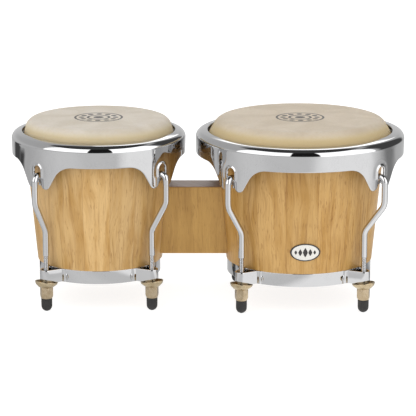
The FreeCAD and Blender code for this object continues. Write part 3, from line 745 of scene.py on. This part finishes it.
def build_rim(name, drum):
    """The pressed crown: a lathe for lip, flange and shoulder, and a fine sheet for the eared skirt."""
    half_angle = pi / 4
    radius = drum["rim"]
    sheet, triangles, distances = quadrant_sheet(half_angle * radius)
    half = SHEET / 2
    parts, outer, inner = [], [], []
    for (across, height), distance in zip(sheet, distances):
        angle = across / radius
        base = skirt_radius(drum, height)
        inset = 0.0 if distance >= half else half - sqrt(max(0.0, half**2 - (half - distance) ** 2))
        lift = pressing(across, height) if height < SKIRT_CUT - 0.5 else 0.0
        outer.append((base - inset + lift, angle, height))
        inner.append((base - SHEET + inset + lift * 0.75, angle, height))
    for azimuth in lug_angles(drum):
        turn = radians(azimuth - 90)
        for layer, flip in ((outer, False), (inner, True)):
            verts = [(drum["x"] + r * cos(turn + a), r * sin(turn + a), z) for r, a, z in layer]
            faces = [tuple(reversed(t)) if flip else t for t in triangles]
            parts.append((np.array(verts), faces))
    shoulder = (radius - SHOULDER_ROUND, SHOULDER_Z)
    lip = (drum["lip"] + half, RIM_TOP - half)
    upper = [(skirt_radius(drum, z), z) for z in (SKIRT_CUT, 194.5, 197.0)]
    upper += arc_points(shoulder, SHOULDER_ROUND, 0, 84, 18)
    upper += arc_points(lip, half, 84, 270, 12)
    upper += arc_points(shoulder, SHOULDER_ROUND - SHEET, 84, 0, 12)
    upper += [(skirt_radius(drum, z) - SHEET, z) for z in (197.0, 194.5, SKIRT_CUT)]
    turn = radians(lug_angles(drum)[0] - 90) - half_angle
    verts, faces = lathe(upper, 4 * QUADRANT_COLUMNS, closed=False)
    spun = verts.copy()
    spun[:, 0] = drum["x"] + verts[:, 0] * cos(turn) - verts[:, 1] * sin(turn)
    spun[:, 1] = verts[:, 0] * sin(turn) + verts[:, 1] * cos(turn)
    parts.append((spun, faces))
    verts, faces = merge(parts)
    make_object(name + "_crown_rim", verts, faces, CHROME, name + "_tension",
                [name + "_rim"], sharp=50)


# ================================ lugs ================================
def rod_line(drum):
    """A tuning rod's centreline above its thread, in (out, z): two bends and the hook."""
    high = rod_radii(drum)[1]
    low = drum["rim"] - rod_arm(drum)
    hook_z = SLOT_BOTTOM + HOOK_CLEARANCE - HOOK + ROD
    corners = np.array([(low, THREAD_TOP), (low, LOWER_BEND), (high, UPPER_BEND), (high, hook_z)])
    line = [corners[0]]
    for before, corner, after in zip(corners, corners[1:], corners[2:]):
        line += corner_arc(before, corner, after, BEND_ROUND, 12)
    line += arc_points((high - HOOK, hook_z), HOOK, 0, 180, 20)
    line.append((high - 2 * HOOK, hook_z - 5.0))
    return np.array(line)


def build_rod(name, drum, number, azimuth):
    """A tuning rod, from its helical thread to its hook, swung about the rim it hooks over."""
    segments = 24
    angles = full_turn(segments)
    low = drum["rim"] - rod_arm(drum)
    top = THREAD_TOP - 0.8

    def level_ring(radii, z):
        return [(low + r * cos(a), r * sin(a), z) for r, a in zip(radii, angles)]

    rings = [level_ring([1.9] * segments, ROD_FOOT)]
    for z in np.arange(ROD_FOOT + 0.15, top, PITCH / 7):
        grow = min(1.0, 0.75 + (z - ROD_FOOT) / 3.2, 0.9 + (top - z) * 0.2)
        wave = 0.5 + 0.5 * np.cos(2 * pi * (z / PITCH) - angles)
        rings.append(level_ring((THREAD - THREAD_DEPTH * (1 - wave**0.8)) * grow, z))
    rings.append(level_ring([THREAD - 0.1] * segments, top + 0.1))
    line = rod_line(drum)
    tangent = np.gradient(line, axis=0)
    tangent[0] = (0, 1)
    tangent /= np.linalg.norm(tangent, axis=1)[:, None]
    for (out, z), (t_out, t_z) in zip(line, tangent):
        rings.append([(out + ROD * cos(a) * t_z, ROD * sin(a), z - ROD * cos(a) * t_out)
                      for a in angles])
    out, z = line[-1]
    for radius, drop in ((ROD - 0.1, 0.35), (ROD - 0.5, 0.75), (ROD - 1.3, 1.0)):
        rings.append([(out - radius * cos(a), radius * sin(a), z - drop) for a in angles])
    points, faces = swept(rings)
    swing = radians(drum["swing"])
    out, across = points[:, 0] - drum["rim"], points[:, 1].copy()
    points[:, 0] = drum["rim"] + out * cos(swing) - across * sin(swing)
    points[:, 1] = out * sin(swing) + across * cos(swing)
    make_object(f"{name}_rod_{number}", to_lug(points, drum, azimuth), faces, ROD_CHROME, name + "_tension",
                [f"{name}_tuning_rod_{number}"], sharp=35)


LOOP_ROOT = 10.9
LOOP_NOSE = 7.8
LOOP_HALF = 1.15
LOOP_BEND = 1.9
FOOT_END = 16.8


def strap_line(drum):
    """Half of a lug loop's centreline from above, as (out, across): a foot on the hoop, a leg, the nose."""
    on_hoop = drum["hoop"] + LOOP_HALF - 0.35
    reach = rod_radii(drum)[0]
    nose = LOOP_NOSE - LOOP_HALF
    root = np.array([sqrt(on_hoop**2 - LOOP_ROOT**2), LOOP_ROOT])
    to_root = root - np.array([reach, 0])
    distance = np.linalg.norm(to_root)
    swing = atan2(to_root[1], to_root[0]) - acos(nose / distance)
    touch = np.array([reach, 0]) + nose * np.array([cos(swing), sin(swing)])
    foot_angle = asin(FOOT_END / on_hoop)
    foot = on_hoop * np.array([cos(foot_angle), sin(foot_angle)])
    line = [foot + (root - foot) * t for t in (0.0, 0.12, 0.25, 0.5)]
    line += corner_arc(foot, root, touch, LOOP_BEND, 8)
    line.append((line[-1] + touch) / 2)
    for k in range(11):
        angle = swing * (1 - k / 10)
        line.append(np.array([reach, 0]) + nose * np.array([cos(angle), sin(angle)]))
    return line


def build_loops(name, drum):
    """A drum's four loops, each one strap with thinning feet and a bead of weld at each end."""
    half_line = strap_line(drum)
    line = np.array(half_line + [np.array([p[0], -p[1]]) for p in half_line[-2::-1]])
    tangent = np.gradient(line, axis=0)
    tangent /= np.linalg.norm(tangent, axis=1)[:, None]
    side = np.column_stack([tangent[:, 1], -tangent[:, 0]])
    low, high = HOOP_BOTTOM + 0.5, HOOP_TOP
    parts = []
    for azimuth in foot_angles(drum):
        rings = []
        for index, (point, inward) in enumerate(zip(line, side)):
            from_end = min(index, len(line) - 1 - index)
            t = LOOP_HALF * (0.25, 0.6, 0.9, 1.0)[min(from_end, 3)]
            middle = point + inward * (LOOP_HALF - t)
            corners = ((t, low), (t, high), (-t, high), (-t, low))
            section = rounded([(u, z, 0.4 * t) for u, z in corners], 3)
            rings.append([(middle[0] + inward[0] * u, middle[1] + inward[1] * u, z) for u, z in section])
        points, faces = swept(rings)
        parts.append((to_lug(points, drum, azimuth), faces))
        for across in (-FOOT_END, FOOT_END):
            parts.append(weld_bead(drum, azimuth, across))
    verts, faces = merge(parts)
    make_object(name + "_loops", verts, faces, CHROME, ROOT, [name + "_lug_loops"], sharp=45)


WELD_Z, WELD_HALF_W, WELD_HALF_H = 41.2, 1.7, 4.4


def weld_bead(drum, azimuth, across):
    """A low upright bead of weld at the end of a loop's foot."""
    base = drum["hoop"] + 0.3
    out = sqrt(base**2 - across**2)
    points = []
    rings, segments = 6, 20
    for ring in range(rings + 1):
        spread = 1.0 - ring / rings
        rise = sqrt(1 - spread**2)
        for a in full_turn(segments):
            points.append((out - 0.3 + rise, across + WELD_HALF_W * spread * cos(a),
                           WELD_Z + WELD_HALF_H * spread * sin(a)))
    faces = grid_faces(rings + 1, segments)
    faces.append(tuple(range(segments))[::-1])
    return to_lug(points, drum, azimuth), faces


def build_hoop(name, drum):
    """A drum's bottom hoop."""
    outer = drum["hoop"]
    inner = outer - 2.2
    profile = rounded([(outer, HOOP_BOTTOM, 0.6), (outer, HOOP_TOP, 0.6), (inner, HOOP_TOP, 0.4),
                       (inner, HOOP_BOTTOM, 0.4)])
    verts, faces = lathe(profile, 192, (drum["x"], 0))
    make_object(name + "_hoop", verts, faces, CHROME, ROOT, [name + "_bottom_hoop"])


def build_washers(name, drum):
    """Deep dished washers, whose lips turn up round the outer sides of the loops."""
    axis = rod_radii(drum)[0]
    top, bottom = HOOP_BOTTOM + 0.4, NUT_TOP + 0.1
    profile = rounded([
        (3.6, bottom, 0.3), (8.6, bottom, 0.5), (9.5, bottom + 0.5, 1.0), (12.9, top - 2.3, 2.4),
        (13.6, top - 0.6, 1.0), (13.5, top + 0.1, 0.4), (12.5, top + 0.1, 0.4), (11.6, top - 1.2, 1.0),
        (9.0, top - 1.6, 0.8), (3.6, top - 1.6, 0.3),
    ])
    parts = []
    for azimuth in foot_angles(drum):
        verts, faces = lathe(profile, 64, (0.0, 0.0))
        near_rim = np.clip((np.hypot(verts[:, 0], verts[:, 1]) - 9.0) / 3.0, 0, 1)
        raised = np.clip((verts[:, 2] - bottom - 1.2) / (top - bottom - 1.2), 0, 1.05)
        verts[:, 2] += WASHER_LIP * np.clip((verts[:, 0] + 6.0) / 19.6, 0, 1) * near_rim * raised
        verts[:, 0] += axis
        parts.append((to_lug(verts, drum, azimuth), faces))
    verts, faces = merge(parts)
    make_object(name + "_washers", verts, faces, WASHER_METAL, ROOT, [name + "_lug_washers"])


def build_nut(name, drum, number, azimuth):
    """A tall hexagon nut, its corners eased and its ends chamfered."""
    axis = rod_radii(drum)[0]
    flat = NUT_FLATS / 2

    def hexagon(radius, height, angles):
        if radius < 5.4:
            return np.full(len(angles), float(radius))
        folded = np.mod(angles, pi / 3) - pi / 6
        return np.minimum(flat / np.cos(folded), min(flat * 1.14, radius))

    profile = [(3.24, TIP_TOP - 4.4), (4.9, TIP_TOP - 4.4), (4.9, TIP_TOP), (6.2, TIP_TOP),
               (6.6, TIP_TOP + 0.2), (7.0, TIP_TOP + 0.9), (7.5, TIP_TOP + 2.0), (7.95, TIP_TOP + 3.2),
               (8.2, TIP_TOP + 4.3),
               (8.2, TIP_TOP + 9), (8.2, NUT_TOP - 1.0), (7.8, NUT_TOP - 0.5), (7.4, NUT_TOP - 0.1),
               (7.0, NUT_TOP), (4.0, NUT_TOP), (3.24, NUT_TOP - 0.6)]
    verts, faces = lathe(profile, 72, (axis, 0), shape=hexagon)
    make_object(f"{name}_nut_{number}_hex", to_lug(verts, drum, azimuth), faces, NUT_METAL,
                f"{name}_nut_{number}", [f"{name}_tuning_nut_{number}"], sharp=28)


def build_tip(name, drum, number, azimuth):
    """A bullet-shaped rubber foot with a soft rolled collar."""
    axis = rod_radii(drum)[0]
    profile = [(0, 5.5), (3.6, 5.5), (3.7, TIP_TOP - 4.7), (4.95, TIP_TOP - 4.6), (4.95, TIP_TOP - 0.3),
               (5.2, TIP_TOP), (6.3, TIP_TOP), (6.6, TIP_TOP - 0.3), (6.68, TIP_TOP - 0.9),
               (6.6, TIP_TOP - 1.4), (6.58, 10.0), (6.55, 7.6)]
    profile += [(6.52 * cos(t) ** 0.9, 6.6 - 6.6 * sin(t)) for t in np.radians(np.arange(8, 75, 8))]
    profile += [(1.9, 0.02), (0, 0.0)]
    verts, faces = lathe(profile, 48, (axis, 0), closed=False)
    make_object(f"{name}_tip_{number}", to_lug(verts, drum, azimuth), faces, RUBBER,
                f"{name}_nut_{number}", [f"{name}_rubber_tip_{number}"], sharp=50)


# ================================ badge ================================
BADGE_AZIMUTH, BADGE_Z = 2.5, 78.0
BADGE_HALF_W, BADGE_HALF_H = 18.0, 10.75
BADGE_BORDER = 0.885


def on_shell(drum, across, height, lift):
    """A point on the large shell's front, across and up from the badge's middle."""
    radius = outer_radius(drum, BADGE_Z + height) + lift
    angle = radians(BADGE_AZIMUTH) + across / radius
    return (drum["x"] + radius * sin(angle), -radius * cos(angle), BADGE_Z + height)


def build_badge(drum):
    """An oval plate with a dark raised border, and a plain row of lozenges on it."""
    segments = 96
    rings = [(0.0, 0.85), (0.3, 0.85), (0.6, 0.85), (0.86, 0.85), (BADGE_BORDER, 0.9), (0.9, 1.12),
             (0.96, 1.2), (0.99, 1.05), (1.0, 0.8), (1.0, 0.16), (0.0, 0.16)]
    verts = []
    for spread, lift in rings:
        for a in full_turn(segments):
            across, height = BADGE_HALF_W * spread * cos(a), BADGE_HALF_H * spread * sin(a)
            verts.append(on_shell(drum, across, height, lift))
    plate = make_object("badge_plate", verts, grid_faces(len(rings), segments), [BADGE_FACE, BADGE_INK], ROOT,
                        ["hembra_badge"], sharp=30)
    middle = Vector(on_shell(drum, 0, 0, 1.0)) * MM
    for face in plate.data.polygons:
        offset = face.center - middle
        spread = hypot(offset.x / (BADGE_HALF_W * MM), offset.z / (BADGE_HALF_H * MM))
        face.material_index = 1 if spread > BADGE_BORDER else 0
    parts = []
    for across, half_w, half_h in ((-11.2, 1.6, 2.6), (-5.9, 2.3, 4.2), (0.0, 2.9, 5.8), (5.9, 2.3, 4.2),
                                   (11.2, 1.6, 2.6)):
        outline = []
        for a in full_turn(24):
            u = copysign(abs(cos(a)) ** 1.7, cos(a)) * half_w
            v = copysign(abs(sin(a)) ** 1.7, sin(a)) * half_h
            outline.append((across + u, v))
        parts.append(swept([[on_shell(drum, u, v, lift) for u, v in outline] for lift in (0.8, 1.02)]))
    verts, faces = merge(parts)
    make_object("badge_lozenges", verts, faces, BADGE_INK, ROOT, sharp=30)


# ================================ the whole object ================================
def dress(node, material):
    """A CAD node that shows as it is, with a material of its own."""
    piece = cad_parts[node]
    piece.data.materials.clear()
    piece.data.materials.append(material)


for drum_name, drum_size in DRUMS.items():
    build_shell(drum_name, drum_size)
    build_head(drum_name, drum_size)
    build_rim(drum_name, drum_size)
    build_hoop(drum_name, drum_size)
    build_loops(drum_name, drum_size)
    build_washers(drum_name, drum_size)
    for lug, (ear_angle, foot_angle) in enumerate(zip(lug_angles(drum_size), foot_angles(drum_size)), 1):
        build_rod(drum_name, drum_size, lug, ear_angle)
        build_nut(drum_name, drum_size, lug, foot_angle)
        build_tip(drum_name, drum_size, lug, foot_angle)
    dress(drum_name + "_flesh_hoop", WIRE)
    dress(drum_name + "_backing_block", BACKING_WOOD)
    dress(drum_name + "_block_bolts", ZINC)
build_badge(DRUMS["hembra"])
dress("centre_block", BLOCK_WOOD)
dress("block_threaded_inserts", ZINC)


# ================================ studio ================================
def flat_sheet(name, low, high, height, material):
    """A level sheet of the stage, from its low corner to its high corner."""
    mesh = bpy.data.meshes.new(name)
    corners = [(low[0], low[1], height), (high[0], low[1], height), (high[0], high[1], height),
               (low[0], high[1], height)]
    mesh.from_pydata(corners, [], [(0, 1, 2, 3)])
    mesh.materials.append(material)
    sheet = bpy.data.objects.new(name, mesh)
    bpy.context.scene.collection.objects.link(sheet)
    return sheet


WHITE = (1.0, 1.0, 1.0, 1.0)


def build_floor():
    """A white floor, and a lit sheet under it that only reflections show."""
    white = Shader("floor_white")
    white.surface.inputs["Specular IOR Level"].default_value = 0.0
    white.finish(Base_Color=(0.4, 0.4, 0.4, 1.0), Roughness=0.9, Emission_Color=WHITE, Emission_Strength=0.84)
    floor = flat_sheet("floor", (-9, -9), (9, 9), 0.0, white.material)
    floor.visible_glossy = False
    lit = Shader("floor_lit")
    lit.surface.inputs["Specular IOR Level"].default_value = 0.0
    x, y, _ = lit.place()
    around = lit.times(lit.math("ARCTAN2", x, lit.times(y, -1.0)), 180 / pi)
    ripple = lit.noise(lit.vector(x, y), 0.004, 2.0, 0.5)
    around = lit.plus(around, lit.times(lit.minus(ripple, 0.5), 14.0))
    away = lit.node("ShaderNodeVectorMath", {0: lit.vector(x, y)}, operation="LENGTH").outputs["Value"]
    level = lit.remap(lit.math("ABSOLUTE", around), 62.0, 100.0, 0.84, 0.62)
    for low, high, soft, patch in ((-62, -30, 12, 0.92), (22, 84, 12, 1.26), (97, 116, 7, 0.3),
                                   (-134, -117, 3, 0.08)):
        level = lit.laid_on(level, lit.window(around, low, high, soft), patch)
    # a black flag's foot, which shows in the small drum's left ear
    beside = lit.times(lit.remap(around, -121, -115), lit.remap(around, -110, -103, 1.0, 0.0))
    nearer = lit.times(lit.remap(away, 780, 860), lit.remap(away, 990, 1060, 1.0, 0.0))
    level = lit.laid_on(level, lit.times(beside, nearer), 0.08)
    lit.finish(Base_Color=(0.0, 0.0, 0.0, 1.0), Roughness=1.0, Emission_Color=WHITE, Emission_Strength=level)
    mirrored = flat_sheet("floor_mirrored", (-2.0, -1.9), (2.0, 1.2), -0.002, lit.material)
    mirrored.visible_camera = False
    mirrored.visible_diffuse = False
    mirrored.visible_shadow = False


class Studio(Shader):
    """The world: white to the camera, a soft wrap of light to matt surfaces, and lamps and gaps to chrome."""

    def __init__(self):
        world = bpy.data.worlds.new("studio")
        bpy.context.scene.world = world
        world.use_nodes = True
        self.tree = world.node_tree
        self.background = self.tree.nodes["Background"]
        coords = self.node("ShaderNodeTexCoord").outputs["Generated"]
        split = self.node("ShaderNodeSeparateXYZ", {0: coords})
        self.x, self.y, self.z = split.outputs
        to_degrees = 180 / pi
        self.front = self.times(self.math("ARCTAN2", self.x, self.times(self.y, -1.0)), to_degrees)
        self.back = self.times(self.math("ARCTAN2", self.x, self.y), to_degrees)
        self.rise = self.times(self.math("ARCSINE", self.z), to_degrees)

    def panel(self, around, low, high, bottom, top, soft=1.2, soft_rise=2.5):
        """A lamp's or a gap's outline, in degrees round from the front or the back, and in degrees up."""
        return self.times(self.window(around, low, high, soft),
                         self.window(self.rise, bottom, top, soft_rise))

    def build(self):
        mirrored = self.remap(self.rise, -30.0, 2.0, 0.08, 0.7)
        for mask, level in (
            (self.panel(self.front, -200, 200, 14, 62, 1.2, 8.0), 0.58),
            (self.panel(self.front, 94, 150, -6, 50, 5.0, 4.0), 0.08),
            (self.panel(self.front, -75, -12, 4, 56), 2.1),
            (self.panel(self.front, 20, 88, -8, 56), 2.1),
            (self.panel(self.front, -12, 20, -2, 60), 0.015),
            (self.panel(self.back, -4.5, 16, 20, 56), 2.2),
            (self.window(self.rise, 56, 95, 3.0), 0.06),
        ):
            mirrored = self.laid_on(mirrored, mask, level)
        facing = self.plus(self.times(self.x, -0.25),
                           self.plus(self.times(self.y, -0.75), self.times(self.z, 0.6)))
        wrap = self.times(self.plus(self.times(facing, 0.85), 1.05), 0.72)
        path = self.node("ShaderNodeLightPath")
        level = self.laid_on(wrap, path.outputs["Is Glossy Ray"], mirrored)
        level = self.laid_on(level, path.outputs["Is Camera Ray"], 1.0)
        self.put(self.background.inputs[0], self.vector(level, level, level))
        self.background.inputs[1].default_value = 1.0


# how far the camera looks down, in degrees
TILT = 12.9


def build_camera():
    """A long lens in front of the pair, a little above it."""
    camera = bpy.data.cameras.new("camera")
    camera.lens = 204.1
    camera.sensor_width = 36
    camera.shift_y = -0.0161
    camera.clip_end = 60
    eye = bpy.data.objects.new("camera", camera)
    eye.location = (0, -2.7843, 0.7568)
    eye.rotation_euler = (radians(90 - TILT), 0, 0)
    bpy.context.scene.collection.objects.link(eye)
    bpy.context.scene.camera = eye


build_floor()
Studio().build()
build_camera()
bpy.context.scene.view_settings.view_transform = "Standard"
